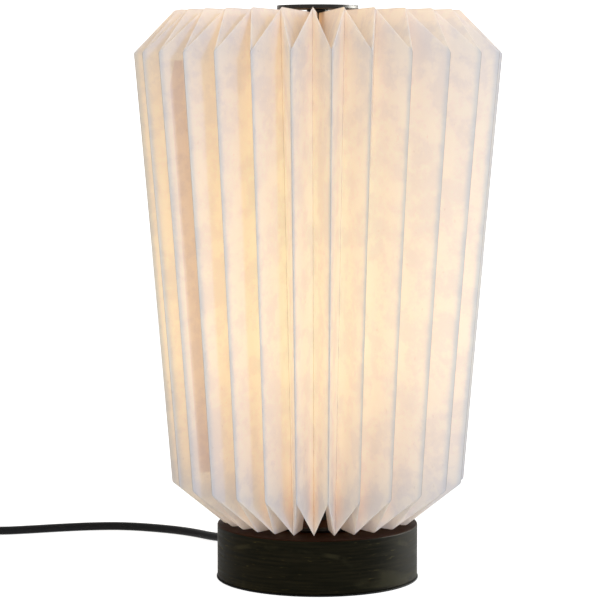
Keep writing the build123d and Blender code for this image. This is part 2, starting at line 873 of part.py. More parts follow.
exit_point = exit_direction * cord_exit
exit_bend = exit_direction * (cord_exit + exit_run)
switch_mouth = (switch_right + switch_relief_length, switch_across, switch_axis_height)
cord_route = [
    (exit_point.X, exit_point.Y, tunnel_height),
    (exit_bend.X, exit_bend.Y, tunnel_height),
    *free_route,
    (switch_mouth[0] + exit_run, switch_across, switch_axis_height),
    switch_mouth,
]
run_length = tube_along(cord_route, "cord_run")

link_route = [(switch_exit, switch_across, switch_axis_height)]
link_route.append((switch_exit - link_first_run, switch_across, switch_axis_height))
link_drop = (switch_axis_height - coil_height) / 2
for turn in (1, 2, 3):
    heading = radians(180 + turn * link_turn)
    last = link_route[-1]
    height = max(coil_height, last[2] - link_drop)
    link_route.append((last[0] + link_run * cos(heading), last[1] + link_run * sin(heading), height))
link_length = tube_along(link_route, "cord_link")

# ================================================================ in-line switch
switch_plane = Plane.XY.offset(floor_clearance)
switch_place = (switch_centre, switch_across)
screw_places = [(switch_centre + side * switch_screw_spacing / 2, switch_across) for side in (-1, 1)]

with BuildPart() as switch_base:
    with BuildSketch(switch_plane):
        with Locations(switch_place):
            RectangleRounded(switch_length, switch_width, switch_corner)
    extrude(amount=switch_base_height)
    fillet(switch_base.faces().sort_by(Axis.Z)[0].edges(), 3 * edge_break)
    with BuildSketch(switch_plane):
        with Locations(*screw_places):
            Circle(switch_screw_head + hole_play)
    extrude(amount=switch_screw_head_height + 1, mode=Mode.SUBTRACT)
    with BuildSketch(switch_plane):
        with Locations(*screw_places):
            Circle(switch_screw_radius + hole_play)
    extrude(amount=switch_base_height, mode=Mode.SUBTRACT)
finish(switch_base.part, "switch_base")

rocker_plane = Plane(
    origin=(switch_centre, switch_across, pivot_height),
    x_dir=(cos(radians(rocker_tilt)), 0, sin(radians(rocker_tilt))),
    z_dir=(0, -1, 0),
)
level_plane = Plane(origin=rocker_plane.origin, x_dir=(1, 0, 0), z_dir=(0, -1, 0))

with BuildPart() as switch_cover:
    with BuildSketch(Plane.XY.offset(switch_joint)):
        with Locations(switch_place):
            RectangleRounded(switch_length, switch_width, switch_corner)
    extrude(amount=switch_cover_height, taper=6)
    fillet(switch_cover.faces().sort_by(Axis.Z)[-1].edges(), 5 * edge_break)
    with BuildSketch(Plane.XY.offset(pivot_height - rocker_keel - rocker_play * 1.5)):
        with Locations(switch_place):
            Rectangle(rocker_length + 2 * rocker_play, rocker_width + 2 * seat_gap)
    extrude(amount=switch_cover_height, mode=Mode.SUBTRACT)
    with BuildSketch(level_plane):
        Circle(pivot_radius + running_fit)
    extrude(amount=rocker_width / 2 + pivot_reach + 2 * seat_gap, both=True, mode=Mode.SUBTRACT)
    with BuildSketch(switch_plane):
        with Locations(*screw_places):
            Circle(switch_screw_radius + hole_play)
    extrude(amount=switch_joint + switch_cover_height / 2, mode=Mode.SUBTRACT)
finish(switch_cover.part, "switch_cover")

with BuildPart() as switch_rocker:
    half = rocker_length / 2
    with BuildSketch(rocker_plane):
        with BuildLine():
            Line((half, -rocker_crest), (half, rocker_crest))
            ThreePointArc((half, rocker_crest), (0, rocker_waist), (-half, rocker_crest))
            Line((-half, rocker_crest), (-half, -rocker_crest))
            ThreePointArc((-half, -rocker_crest), (0, -rocker_keel), (half, -rocker_crest))
        make_face()
    extrude(amount=rocker_width / 2, both=True)
    with BuildSketch(rocker_plane):
        Circle(pivot_radius)
    extrude(amount=rocker_width / 2 + pivot_reach, both=True)
finish(switch_rocker.part, "switch_rocker")

with BuildPart() as switch_reliefs:
    for face, direction in ((switch_right, 1), (switch_left, -1)):
        far = face + direction * switch_relief_length
        with BuildSketch(Plane(origin=(face, switch_across, switch_axis_height), z_dir=(direction, 0, 0))):
            Circle(switch_relief_radius)
        with BuildSketch(Plane(origin=(far, switch_across, switch_axis_height), z_dir=(direction, 0, 0))):
            Circle(cord_radius + 0.5)
        loft()
finish(switch_reliefs.part, "switch_reliefs")

with BuildPart() as switch_screws:
    with BuildSketch(switch_plane.offset(1)):
        with Locations(*screw_places):
            Circle(switch_screw_head)
    extrude(amount=switch_screw_head_height)
    with BuildSketch(switch_plane.offset(1 + switch_screw_head_height)):
        with Locations(*screw_places):
            Circle(switch_screw_radius)
    extrude(amount=switch_base_height)
finish(switch_screws.part, "switch_screws")


# ================================================================ put-away coil
def coil_path_points():
    """The coil's way as (point, heading at the point, true where a straight run leads on)."""
    x, y = coil_middle
    left = x - coil_outer
    way = [((left, y + cord_diameter, coil_height), (0, -1, 0), True)]
    radius = coil_outer
    side = -1
    way.append(((left, y, coil_height), (0, -1, 0), False))
    for _ in range(half_turns_in):
        radius -= coil_pitch / 2
        side = -side
        way.append(((x + side * radius, y, coil_height), (0, side, 0), False))
    # The climb to the upper layer takes one half turn, as two equal arcs.
    reach = hypot(radius, coil_layer / 2)
    rise = Vector(-side * 2 * radius, 0, coil_layer)
    way.append(((x, y + side * reach, coil_height + coil_layer / 2), tuple(rise.normalized()), False))
    side = -side
    upper = coil_height + coil_layer
    way.append(((x + side * radius, y, upper), (0, side, 0), False))
    for _ in range(half_turns_out):
        radius += coil_pitch / 2
        side = -side
        way.append(((x + side * radius, y, upper), (0, side, 0), False))
    # The last quarter turn spreads on at the same rate and leads out to the front.
    quarter = radius + coil_pitch / 4
    end_x = x + side * (radius - quarter)
    way.append(((end_x, y + side * quarter, upper), (-side, 0, 0), True))
    way.append(((end_x - side * cord_diameter, y + side * quarter, upper), (-side, 0, 0), True))
    return way


coil_way = coil_path_points()
with BuildPart() as cord_coil:
    with BuildLine() as coil_line:
        for (start, heading, straight), (end, _, _) in zip(coil_way, coil_way[1:]):
            if straight:
                Line(start, end)
            else:
                TangentArc(start, end, tangent=heading)
    coil_middle_line = coil_line.wire()
    with BuildSketch(Plane(origin=coil_middle_line @ 0, z_dir=coil_middle_line % 0)):
        Circle(cord_radius)
    sweep()
coil_length = coil_middle_line.length
coil_share = cord_coil.part.volume / (pi * cord_radius**2 * coil_length)
finish(cord_coil.part, "cord_coil")


def least_gap(line, length):
    """The least gap that a wound cord keeps to itself, measured between points along its middle."""
    step = cord_radius / 2
    count = int(length / step)
    points = [line.position_at(index * step, PositionMode.LENGTH) for index in range(count)]
    apart = int(3 * cord_diameter / step)
    nearest = min(
        (points[later] - points[earlier]).length
        for earlier in range(len(points))
        for later in range(earlier + apart, len(points))
    )
    return nearest - cord_diameter


print(f"cord_coil: length {coil_length:.1f}, volume over section times length {coil_share:.4f}")
print(f"cord_coil: least gap to itself {least_gap(coil_middle_line, coil_length):.2f}")

bundle_inner = coil_outer - coil_pitch * half_turns_in / 2 - cord_radius
bundle_outer = coil_outer - coil_pitch / 2 + cord_radius
bundle_top = coil_height + coil_layer + cord_radius
tie_low = floor_clearance + tie_strap
with BuildPart() as cord_tie:
    with BuildSketch(Plane(origin=(coil_middle[0], coil_middle[1], 0), x_dir=(1, 0, 0), z_dir=(0, -1, 0))):
        tie_place = ((bundle_inner + bundle_outer) / 2, (tie_low + bundle_top + tie_gap) / 2)
        tie_wide = bundle_outer - bundle_inner + 2 * seat_gap
        tie_high = bundle_top + tie_gap - tie_low
        with Locations(tie_place):
            RectangleRounded(tie_wide + 2 * tie_strap, tie_high + 2 * tie_strap, cord_radius)
        with Locations((tie_place[0], bundle_top + tie_gap + tie_head / 3)):
            Rectangle(tie_head, tie_head * 2 / 3)
        with Locations(tie_place):
            RectangleRounded(tie_wide, tie_high, cord_radius - tie_strap, mode=Mode.SUBTRACT)
    extrude(amount=tie_width / 2, both=True)
finish(cord_tie.part, "cord_tie")

# ================================================================ tail and plug
tail_route = [coil_way[-1][0]]
for step in tail_steps:
    last = tail_route[-1]
    tail_route.append((last[0] + step[0], last[1] + step[1], last[2] + step[2]))
tail_length = tube_along(tail_route, "cord_tail")

plug_x, plug_y, plug_z = tail_route[-1]
plug_back = plug_x + plug_relief_length
plug_nose = plug_back + plug_waist_length
plug_face = plug_nose + plug_nose_length


def plug_plane(x):
    """The plane square to the plug's length."""
    return Plane(origin=(x, plug_y, plug_z), x_dir=(0, 1, 0), z_dir=(1, 0, 0))


with BuildPart() as plug_relief:
    with BuildSketch(plug_plane(plug_x)):
        Circle(cord_radius + 0.5)
    with BuildSketch(plug_plane(plug_back)):
        Circle(plug_relief_radius)
    loft()
    for rib in range(plug_relief_ribs):
        groove = plug_x + (rib + 0.7) * plug_relief_length / plug_relief_ribs
        with BuildSketch(plug_plane(groove)):
            Circle(plug_relief_radius + 1)
            Circle(cord_radius + 0.2, mode=Mode.SUBTRACT)
        extrude(amount=plug_rib_gap, mode=Mode.SUBTRACT)
finish(plug_relief.part, "plug_relief")

with BuildPart() as plug_body:
    with BuildSketch(plug_plane(plug_back)):
        RectangleRounded(plug_back_width, plug_back_thickness, plug_rounding)
    with BuildSketch(plug_plane(plug_nose)):
        RectangleRounded(plug_waist_width, plug_thickness, plug_rounding)
    loft()
    with BuildSketch(plug_plane(plug_nose)):
        RectangleRounded(plug_nose_width, plug_thickness, plug_rounding)
    extrude(amount=plug_nose_length)
    fillet(plug_body.faces().sort_by(Axis.X)[-1].edges(), edge_break)
    with BuildSketch(plug_plane(plug_face)):
        with GridLocations(pin_spacing, 0, 2, 1):
            Circle(pin_sleeve_radius)
    extrude(amount=pin_sleeve_length)
    with BuildSketch(plug_plane(plug_face)):
        with GridLocations(pin_spacing, 0, 2, 1):
            Circle(pin_core + hole_play / 2)
    extrude(amount=pin_sleeve_length, mode=Mode.SUBTRACT)
finish(plug_body.part, "plug_body")

with BuildPart() as plug_pins:
    with BuildSketch(plug_plane(plug_face)):
        with GridLocations(pin_spacing, 0, 2, 1):
            Circle(pin_core)
    extrude(amount=pin_sleeve_length)
    with BuildSketch(plug_plane(plug_face + pin_sleeve_length)):
        with GridLocations(pin_spacing, 0, 2, 1):
            Circle(pin_radius)
    extrude(amount=pin_length - pin_sleeve_length)
    tips = plug_pins.faces().sort_by(Axis.X)[-2:]
    fillet(tips.edges(), pin_radius * 0.6)
finish(plug_pins.part, "plug_pins")

through_switch = switch_length + 2 * switch_relief_length
cord_total = (
    cord_exit - sheath_start + run_length + through_switch + link_length + coil_length
    + tail_length + plug_relief_length
)
print(f"cord in all, from the clamp in the base to the plug: {cord_total:.0f}")
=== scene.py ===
"""Looks of a table lamp with a pleated paper shade on a turned wooden base.

Metres, +Z up. The origin is on the surface that the lamp stands on, under the middle of the base.
"""

import random
from math import cos, pi, radians, sin

import bpy
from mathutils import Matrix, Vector


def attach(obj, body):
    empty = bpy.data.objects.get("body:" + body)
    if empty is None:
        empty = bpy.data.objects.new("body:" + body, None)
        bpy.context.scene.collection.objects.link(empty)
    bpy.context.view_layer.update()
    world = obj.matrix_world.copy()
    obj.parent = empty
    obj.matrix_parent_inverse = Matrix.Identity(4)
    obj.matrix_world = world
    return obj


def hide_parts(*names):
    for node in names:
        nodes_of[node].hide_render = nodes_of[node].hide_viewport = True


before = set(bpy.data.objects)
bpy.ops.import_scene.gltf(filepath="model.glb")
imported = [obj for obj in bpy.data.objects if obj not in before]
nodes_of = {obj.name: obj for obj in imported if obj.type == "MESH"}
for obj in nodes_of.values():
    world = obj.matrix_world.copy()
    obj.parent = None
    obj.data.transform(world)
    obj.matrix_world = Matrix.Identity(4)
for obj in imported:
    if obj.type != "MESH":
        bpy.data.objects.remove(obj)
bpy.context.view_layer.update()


random.seed(7)

# ---------------------------------------------------------------- camera
# Fitted to the outlines of the shade, the base and the cap. Pitch and yaw are in degrees.
view_distance = 1.7194
view_pitch = 5.396
view_yaw = 0.409
aim_height = 0.19585
focal_length = 147.38

camera_data = bpy.data.cameras.new("camera")
camera_data.lens = focal_length
camera_data.sensor_width = 36
camera = bpy.data.objects.new("camera", camera_data)
camera.location = (
    0,
    -view_distance * cos(radians(view_pitch)),
    aim_height + view_distance * sin(radians(view_pitch)),
)
camera.rotation_euler = (radians(90 - view_pitch), 0, radians(view_yaw))
camera_data.clip_start = 0.05
bpy.context.scene.collection.objects.link(camera)
bpy.context.scene.camera = camera

# ---------------------------------------------------------------- cord
# The points are those of the cord's solids.
cord_width = 0.0063
cord_height = 0.0032  # of its axis, where it lies on the floor
axis_in_switch = 0.0076
coil_middle = (-0.38925, 0.07345)
coil_low = 0.00425
coil_rise = 0.0068
coil_outer = 0.046
coil_pitch = 0.0082
turns_in = 2.5
turns_up = 0.5
turns_out = 2.25
points_per_turn = 24

run_route = [
    (-0.04437, 0.08344, 0.011),
    (-0.05094, 0.09580, 0.011),
    (-0.0615, 0.1095, 0.0070),
    (-0.0745, 0.1235, cord_height),
    (-0.0972, 0.1478, cord_height),
    (-0.1210, 0.1618, cord_height),
    (-0.1490, 0.1716, cord_height),
    (-0.1735, 0.1706, cord_height),
    (-0.1995, 0.1639, cord_height),
    (-0.2240, 0.1554, cord_height),
    (-0.2460, 0.1496, cord_height),
    (-0.2650, 0.1466, 0.0056),
    (-0.2810, 0.1460, axis_in_switch),
    (-0.2950, 0.1460, axis_in_switch),
]
link_route = [
    (-0.3770, 0.1460, axis_in_switch),
    (-0.3970, 0.1460, axis_in_switch),
    (-0.42125, 0.1320, 0.0059),
    (-0.43525, 0.10775, coil_low),
    (-0.43525, 0.07975, coil_low),
]
tail_route = [
    (-0.3809, 0.0295, 0.01105),
    (-0.3659, 0.0295, 0.01105),
    (-0.3499, 0.0279, 0.01025),
    (-0.3339, 0.0251, 0.00855),
    (-0.3199, 0.0239, 0.00705),
    (-0.3079, 0.0239, 0.00705),
]


def coil_points():
    """The coil's turns: in on the floor, up through half a turn, and out again on top."""
    step = 2 * pi / points_per_turn
    inner = coil_outer - coil_pitch * turns_in
    points = []
    for index in range(int((turns_in + turns_up + turns_out) * points_per_turn)):
        turn = (index + 0.5) / points_per_turn
        angle = pi + turn * 2 * pi
        if turn < turns_in:
            radius = coil_outer - coil_pitch * turn
        else:
            radius = inner + coil_pitch * max(0, turn - turns_in - turns_up)
        climb = min(1, max(0, (turn - turns_in) / turns_up))
        across = radius / cos(step / 2)
        x = coil_middle[0] + across * cos(angle)
        y = coil_middle[1] + across * sin(angle)
        points.append((x, y, coil_low + coil_rise * climb))
    return points


def lay_cord(name, route, material):
    """A round cord whose line is a smooth curve with the route's points as its control points."""
    data = bpy.data.curves.new(name, "CURVE")
    data.dimensions = "3D"
    spline = data.splines.new("NURBS")
    spline.points.add(len(route) - 1)
    for point, place in zip(spline.points, route):
        point.co = (*place, 1)
    spline.order_u = 3
    spline.use_endpoint_u = True
    spline.resolution_u = 8
    data.bevel_depth = cord_width / 2
    data.bevel_resolution = 5
    data.use_fill_caps = True
    data.materials.append(material)
    piece = bpy.data.objects.new(name, data)
    bpy.context.scene.collection.objects.link(piece)
    return piece


# ---------------------------------------------------------------- materials
class Look:
    """The nodes of a new material, or of the world, under construction."""

    def __init__(self, name, world=None):
        self.material = world or bpy.data.materials.new(name)
        self.material.use_nodes = True
        self.tree = self.material.node_tree
        self.tree.nodes.clear()
        self.output = self.node("OutputWorld" if world else "OutputMaterial")

    def node(self, kind, inputs=None, **settings):
        made = self.tree.nodes.new("ShaderNode" + kind)
        for key, value in settings.items():
            setattr(made, key, value)
        for key, value in (inputs or {}).items():
            self.set(made.inputs[key], value)
        return made

    def set(self, socket, value):
        if isinstance(value, bpy.types.NodeSocket):
            self.tree.links.new(value, socket)
        elif isinstance(value, bpy.types.Node):
            self.tree.links.new(value.outputs[0], socket)
        elif hasattr(value, "__len__") and socket.type == "RGBA" and len(value) == 3:
            socket.default_value = (*value, 1)
        else:
            socket.default_value = value

    def math(self, operation, first, second, third=0.0):
        made = self.node("Math", operation=operation)
        for socket, value in zip(made.inputs, (first, second, third)):
            self.set(socket, value)
        return made.outputs[0]

    def ramp(self, value, low, high):
        """0 at low, 1 at high, and smooth between."""
        made = self.node("MapRange", interpolation_type="SMOOTHSTEP")
        self.set(made.inputs["Value"], value)
        made.inputs["From Min"].default_value = low
        made.inputs["From Max"].default_value = high
        return made.outputs["Result"]

    def mix(self, share, first, second):
        made = self.node("Mix", data_type="RGBA")
        self.set(made.inputs[0], share)
        self.set(made.inputs[6], first)
        self.set(made.inputs[7], second)
        return made.outputs[2]

    def place(self, scale=(1, 1, 1)):
        """Coordinates of the object, scaled."""
        where = self.node("TexCoord")
        mapping = self.node("Mapping")
        self.tree.links.new(where.outputs["Object"], mapping.inputs["Vector"])
        mapping.inputs["Scale"].default_value = scale
        return mapping.outputs["Vector"]

    def height(self):
        return self.node("SeparateXYZ", {0: self.place()}).outputs["Z"]

    def noise(self, scale, stretch=(1, 1, 1), detail=3.0, roughness=0.5):
        made = self.node("TexNoise")
        self.set(made.inputs["Vector"], self.place(stretch))
        made.inputs["Scale"].default_value = scale
        made.inputs["Detail"].default_value = detail
        made.inputs["Roughness"].default_value = roughness
        return made.outputs[0]

    def attribute(self, name):
        return self.node("Attribute", attribute_name=name).outputs["Fac"]

    def bump(self, height, distance, strength):
        made = self.node("Bump")
        made.inputs["Strength"].default_value = strength
        made.inputs["Distance"].default_value = distance
        self.set(made.inputs["Height"], height)
        return made.outputs["Normal"]

    def add(self, first, second):
        made = self.node("AddShader")
        self.set(made.inputs[0], first)
        self.set(made.inputs[1], second)
        return made

    def background_ray(self):
        """1 on the rays that show the background, straight, mirrored or through glass."""
        path = self.node("LightPath")
        seen = self.math("MAXIMUM", path.outputs["Is Camera Ray"], path.outputs["Is Glossy Ray"])
        return self.math("MAXIMUM", seen, path.outputs["Is Transmission Ray"])

    def surface(self, shader):
        self.set(self.output.inputs["Surface"], shader)
        return self.material

    def principled(self, color, roughness, normal=None, **plain):
        made = self.node("BsdfPrincipled")
        self.set(made.inputs["Base Color"], color)
        self.set(made.inputs["Roughness"], roughness)
        if normal is not None:
            self.set(made.inputs["Normal"], normal)
        for key, value in plain.items():
            self.set(made.inputs[key.replace("_", " ")], value)
        return made.outputs[0]


def speckled(name, color, roughness, kind):
    """A dull surface that varies a little in small grains, as its kind says."""
    look = Look(name)
    grain = look.noise(kind["scale"], detail=kind["detail"])
    darker, lighter = ([c * (1 + way * kind["tones"]) for c in color] for way in (-1, 1))
    tone = look.mix(grain, darker, lighter)
    rough = look.math("MULTIPLY_ADD", grain, kind["play"], roughness - kind["play"] / 2)
    normal = look.bump(grain, kind["relief"], kind["strength"])
    return look.surface(look.principled(tone, rough, normal, Specular_IOR_Level=kind["specular"]))


rubber = {
    "scale": 900, "detail": 2.0, "tones": 0.20, "play": 0.10,
    "relief": 0.00004, "strength": 0.5, "specular": 0.12,
}
paint = {
    "scale": 260, "detail": 4.0, "tones": 0.15, "play": 0.14,
    "relief": 0.00003, "strength": 0.4, "specular": 0.25,
}


def metal(name, color, roughness):
    look = Look(name)
    grain = look.noise(700, stretch=(1, 1, 6), detail=2.0)
    tone = look.mix(grain, [c * 0.9 for c in color], color)
    rough = look.math("MULTIPLY_ADD", grain, 0.12, roughness)
    return look.surface(look.principled(tone, rough, Metallic=1.0))


wood_top = 0.0385  # the block's top face
wood_dark, wood_light = (0.0056, 0.0053, 0.0024), (0.0150, 0.0124, 0.0058)
wood_figure = (0.030, 0.026, 0.012)
wood_flecks = (0.050, 0.040, 0.012)
# painted light: the top face tinted with the warm glow that the lit shade casts on it
wood_top_painted_glow = (0.030, 0.0105, 0.0048)


def stained_wood():
    """Almost black stain that lets through a faint figure, fine streaks and olive flecks. Painted warm
    light on the top face.
    """
    look = Look("stained_wood")
    streak = look.noise(1, stretch=(30, 30, 620), detail=4.0, roughness=0.6)
    cloud = look.noise(46, detail=3.0)
    bands = look.node("TexWave", bands_direction="DIAGONAL")
    look.set(bands.inputs["Vector"], look.place((0.5, 0.5, 3)))
    for socket, value in (("Scale", 9), ("Distortion", 9), ("Detail", 2), ("Detail Scale", 1.0)):
        bands.inputs[socket].default_value = value
    figure = look.ramp(bands.outputs["Fac"], 0.86, 1.0)
    figure = look.math("MULTIPLY", figure, look.ramp(cloud, 0.42, 0.62))
    flecks = look.ramp(look.noise(1, stretch=(110, 110, 700), detail=2.0), 0.62, 0.74)
    flecks = look.math("MULTIPLY", flecks, look.ramp(cloud, 0.58, 0.44))
    tone = look.mix(look.ramp(streak, 0.36, 0.72), wood_dark, wood_light)
    tone = look.mix(look.math("MULTIPLY", figure, 0.8), tone, wood_figure)
    tone = look.mix(look.math("MULTIPLY", flecks, 0.7), tone, wood_flecks)
    # Painted light: the top face takes the warm glow that falls on it from the lit shade.
    painted_glow_on_top = look.ramp(look.height(), wood_top - 0.0008, wood_top - 0.0002)
    tone = look.mix(painted_glow_on_top, tone, wood_top_painted_glow)
    rough = look.math("MULTIPLY_ADD", streak, 0.5, 0.16)
    rough = look.math("MULTIPLY_ADD", cloud, 0.2, rough)
    normal = look.bump(look.math("MULTIPLY_ADD", cloud, 0.6, streak), 0.00009, 1.0)
    return look.surface(look.principled(tone, rough, normal, Specular_IOR_Level=0.032))


def glazed():
    look = Look("porcelain")
    tone = look.mix(look.noise(40), (0.80, 0.78, 0.73), (0.86, 0.84, 0.80))
    return look.surface(look.principled(tone, 0.18))


def lit_glass():
    look = Look("bulb_glass")
    glow = look.mix(look.noise(90), (0.94, 0.70, 0.36), (1.0, 0.78, 0.44))
    frost = (0.26, 0.23, 0.18)
    return look.surface(look.principled(frost, 0.35, Emission_Color=glow, Emission_Strength=0.85))


def plain_glass(name, color):
    look = Look(name)
    tone = look.mix(look.noise(60), [c * 0.95 for c in color], color)
    return look.surface(look.principled(tone, 0.08))


def hot_wire():
    look = Look("filament")
    tone = look.mix(look.noise(500), (0.30, 0.28, 0.26), (0.36, 0.34, 0.31))
    return look.surface(look.principled(tone, 0.4, Metallic=1.0))


# Painted light: the warm light that the lit bulb sends through the paper, painted into its emission at
# each height.
# Valleys get more than panels, ridges less, and the folded tips at the bottom almost none.
panel_glow = [
    (0.050, (0.030, 0.035, 0.040)),
    (0.070, (0.050, 0.047, 0.047)),
    (0.095, (0.122, 0.084, 0.054)),
    (0.170, (0.222, 0.156, 0.078)),
    (0.280, (0.174, 0.118, 0.057)),
    (0.340, (0.124, 0.084, 0.047)),
    (0.375, (0.052, 0.038, 0.031)),
]
valley_glow = [
    (0.043, (0.050, 0.045, 0.045)),
    (0.060, (0.165, 0.092, 0.052)),
    (0.095, (0.200, 0.155, 0.110)),
    (0.170, (0.215, 0.202, 0.128)),
    (0.280, (0.184, 0.162, 0.095)),
    (0.345, (0.190, 0.135, 0.078)),
    (0.385, (0.135, 0.083, 0.045)),
]
ridge_glow_dimming = (0.15, 0.35, 0.80)
shade_height = 0.4


def by_height(look, stops):
    """A colour that changes with height, from the stops' heights and colours."""
    ramp = look.node("ValToRGB")
    look.set(ramp.inputs[0], look.math("DIVIDE", look.height(), shade_height))
    elements = ramp.color_ramp.elements
    for element, (stop_height, color) in zip((elements[0], elements[1]), (stops[0], stops[-1])):
        element.position = stop_height / shade_height
        element.color = (*color, 1)
    for stop_height, color in stops[1:-1]:
        elements.new(stop_height / shade_height).color = (*color, 1)
    return ramp.outputs[0]


def glow_of(look, across):
    """The painted light through the paper, by height and by the share of the way from ridge to valley.
    """
    panel = by_height(look, panel_glow)
    dimmed = look.node("Mix", data_type="RGBA", blend_type="MULTIPLY")
    for index, value in ((0, 1.0), (6, panel), (7, ridge_glow_dimming)):
        look.set(dimmed.inputs[index], value)
    panel = look.mix(look.ramp(across, 0.02, 0.19), dimmed.outputs[2], panel)
    return look.mix(look.ramp(across, 0.5, 0.92), panel, by_height(look, valley_glow))


seam_fold = 48  # the ridge that starts the seam's panel
seam_shares = (0.19, 0.60)  # of the way from ridge to valley
seam_heights = (0.083, 0.3625)
seam_corner = (0.14, 0.016)  # cut off its top: share and height


def seam_mask(look, across):
    """1 where the doubled seam lies, 0 elsewhere."""
    height = look.height()
    mask = look.math("COMPARE", look.attribute("fold"), float(seam_fold), 0.25)
    for value, low, high, soft in ((across, *seam_shares, 0.012), (height, *seam_heights, 0.001)):
        mask = look.math("MULTIPLY", mask, look.ramp(value, low - soft, low + soft))
        mask = look.math("MULTIPLY", mask, look.ramp(value, high + soft, high - soft))
    into_strip = look.math("SUBTRACT", across, seam_shares[0])
    below_top = look.math("SUBTRACT", seam_heights[1], height)
    corner = look.math("DIVIDE", into_strip, seam_corner[0])
    corner = look.math("MULTIPLY_ADD", below_top, 1 / seam_corner[1], corner)
    return look.math("MULTIPLY", mask, look.ramp(corner, 0.9, 1.1))


paper_outer = (0.812, 0.774, 0.750), (0.893, 0.832, 0.752)
paper_through = (0.86, 0.77, 0.68), (0.95, 0.88, 0.76)
# painted shade: cooler, darker paper along each ridge, where less of the bulb's light comes through
ridge_painted_shade = (0.63, 0.665, 0.695)
speck_tone = (0.52, 0.47, 0.44)
# painted shade of the doubled seam, which lets less light through
seam_painted_shade = (0.63, 0.43, 0.52)
crease_outer, crease_through = (0.40, 0.34, 0.29), (0.40, 0.24, 0.15)
passed_on, passed_on_doubled = 0.30, 0.8  # share of the light that goes through the sheet


def paper_mottle(look):
    """0 to 1: clouds and blotches of thicker and thinner paper, and its fibres."""
    cloud = look.noise(90, detail=6.0, roughness=0.66)
    blotch = look.noise(52, stretch=(1, 1, 0.8), detail=4.0, roughness=0.6)
    fibre = look.noise(1, stretch=(420, 420, 240), detail=3.0, roughness=0.7)
    patches = look.math("MULTIPLY_ADD", cloud, 0.55, look.math("MULTIPLY", blotch, 0.55))
    patches = look.math("MULTIPLY", look.ramp(patches, 0.47, 0.62), 0.8)
    return look.math("MULTIPLY_ADD", look.ramp(fibre, 0.3, 0.7), 0.2, patches)


def paper_look(name, doubled):
    """Thin fibrous paper that passes part of the light and glows with the bulb behind it."""
    look = Look(name)
    mottle = paper_mottle(look)
    across = look.attribute("across")
    specks = look.ramp(look.noise(1, stretch=(300, 300, 210), detail=1.0), 0.72, 0.80)
    # edge marks the painted shade along each ridge
    edge = look.ramp(across, 0.13, 0.02)
    fold = look.math("MULTIPLY", look.ramp(across, 0.978, 0.994), 0.6)
    crease = look.math("MAXIMUM", look.ramp(across, 0.018, 0.004), fold)

    outer = look.mix(mottle, *paper_outer)
    outer = look.mix(look.math("MULTIPLY", edge, 0.55), outer, ridge_painted_shade)
    outer = look.mix(look.math("MULTIPLY", specks, 0.25), outer, speck_tone)
    share = look.math("MULTIPLY_ADD", mottle, 0.14, 0.92)
    if not doubled:
        # Painted shade over the seam: darker outside and less glow, where the second layer holds back
        # the light.
        seam = look.math("MULTIPLY", seam_mask(look, across), 0.30)
        outer = look.mix(seam, outer, seam_painted_shade)
        share = look.math("MULTIPLY", share, look.math("MULTIPLY_ADD", seam, -0.9, 1.0))
    outer = look.mix(look.math("MULTIPLY", crease, 0.55), outer, crease_outer)
    through = look.mix(mottle, *paper_through)
    through = look.mix(look.math("MULTIPLY", crease, 0.35), through, crease_through)
    share = look.math("MULTIPLY", share, look.math("MULTIPLY_ADD", crease, -0.35, 1.0))

    normal = look.bump(mottle, 0.00012, 0.5)
    reflect = look.node("BsdfDiffuse", {"Color": outer, "Normal": normal})
    pass_on = look.node("BsdfTranslucent", {"Color": through, "Normal": normal})
    mixed = look.node("MixShader", {0: passed_on_doubled if doubled else passed_on})
    look.set(mixed.inputs[1], reflect)
    look.set(mixed.inputs[2], pass_on)
    if doubled:
        return look.surface(mixed)
    lit = look.node("Emission", {"Color": glow_of(look, across), "Strength": share})
    return look.surface(look.add(mixed, lit))


looks = {
    "stained_wood": stained_wood(),
    "pad": speckled("pad", (0.008, 0.008, 0.008), 0.7, rubber),
    "black_metal": speckled("black_metal", (0.016, 0.014, 0.012), 0.42, paint),
    "zinc": metal("zinc", (0.62, 0.62, 0.60), 0.30),
    "holder": speckled("holder", (0.018, 0.018, 0.018), 0.38, paint),
    "porcelain": glazed(),
    "brass": metal("brass", (0.74, 0.55, 0.27), 0.25),
    "bulb_glass": lit_glass(),
    "black_glass": plain_glass("black_glass", (0.012, 0.012, 0.012)),
    "clear_glass": plain_glass("clear_glass", (0.75, 0.78, 0.76)),
    "filament": hot_wire(),
    "paper": paper_look("paper", False),
    "paper_seam": paper_look("paper_seam", True),
    "cord": speckled("cord", (0.0055, 0.0055, 0.006), 0.40, rubber),
    "cord_fittings": speckled("cord_fittings", (0.012, 0.012, 0.013), 0.36, rubber),
    "cores": speckled("cores", (0.05, 0.03, 0.02), 0.45, rubber),
    "plated_pins": metal("plated_pins", (0.70, 0.68, 0.62), 0.22),
}

